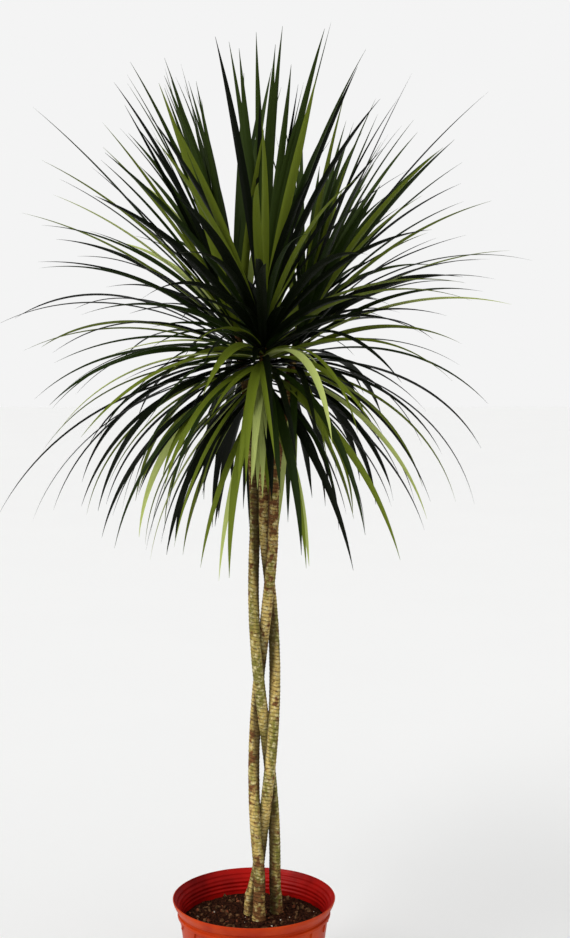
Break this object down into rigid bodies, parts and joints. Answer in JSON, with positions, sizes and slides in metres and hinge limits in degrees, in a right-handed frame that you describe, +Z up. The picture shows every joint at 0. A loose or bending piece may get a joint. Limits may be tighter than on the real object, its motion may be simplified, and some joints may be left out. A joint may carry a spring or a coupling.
{
  "type": "braided dragon tree in a nursery pot",
  "caption": "Tall potted dragon tree: slim plaited canes rise from a terracotta-coloured plastic pot to a round crown of long, narrow, arching green leaves.",
  "frame": {"origin": "middle of the pot's flat underside", "axes": "+Z up along the pot's axis; the side that faces the viewer in the picture is -Y; +X is to the viewer's right"},
  "size_m": [0.6516, 0.6426, 1.2519],
  "materials": {
    "terracotta_plastic": "satin",
    "potting_soil": "rough",
    "cane_bark": "rough",
    "leaf_green": "satin"
  },
  "bodies": {
    "root": {"pot": "terracotta_plastic", "soil": "potting_soil", "cane_left": "cane_bark", "cane_front": "cane_bark", "cane_right": "cane_bark", "leaves_left": "leaf_green", "leaves_front": "leaf_green", "leaves_right": "leaf_green"}
  },
  "joints": []
}
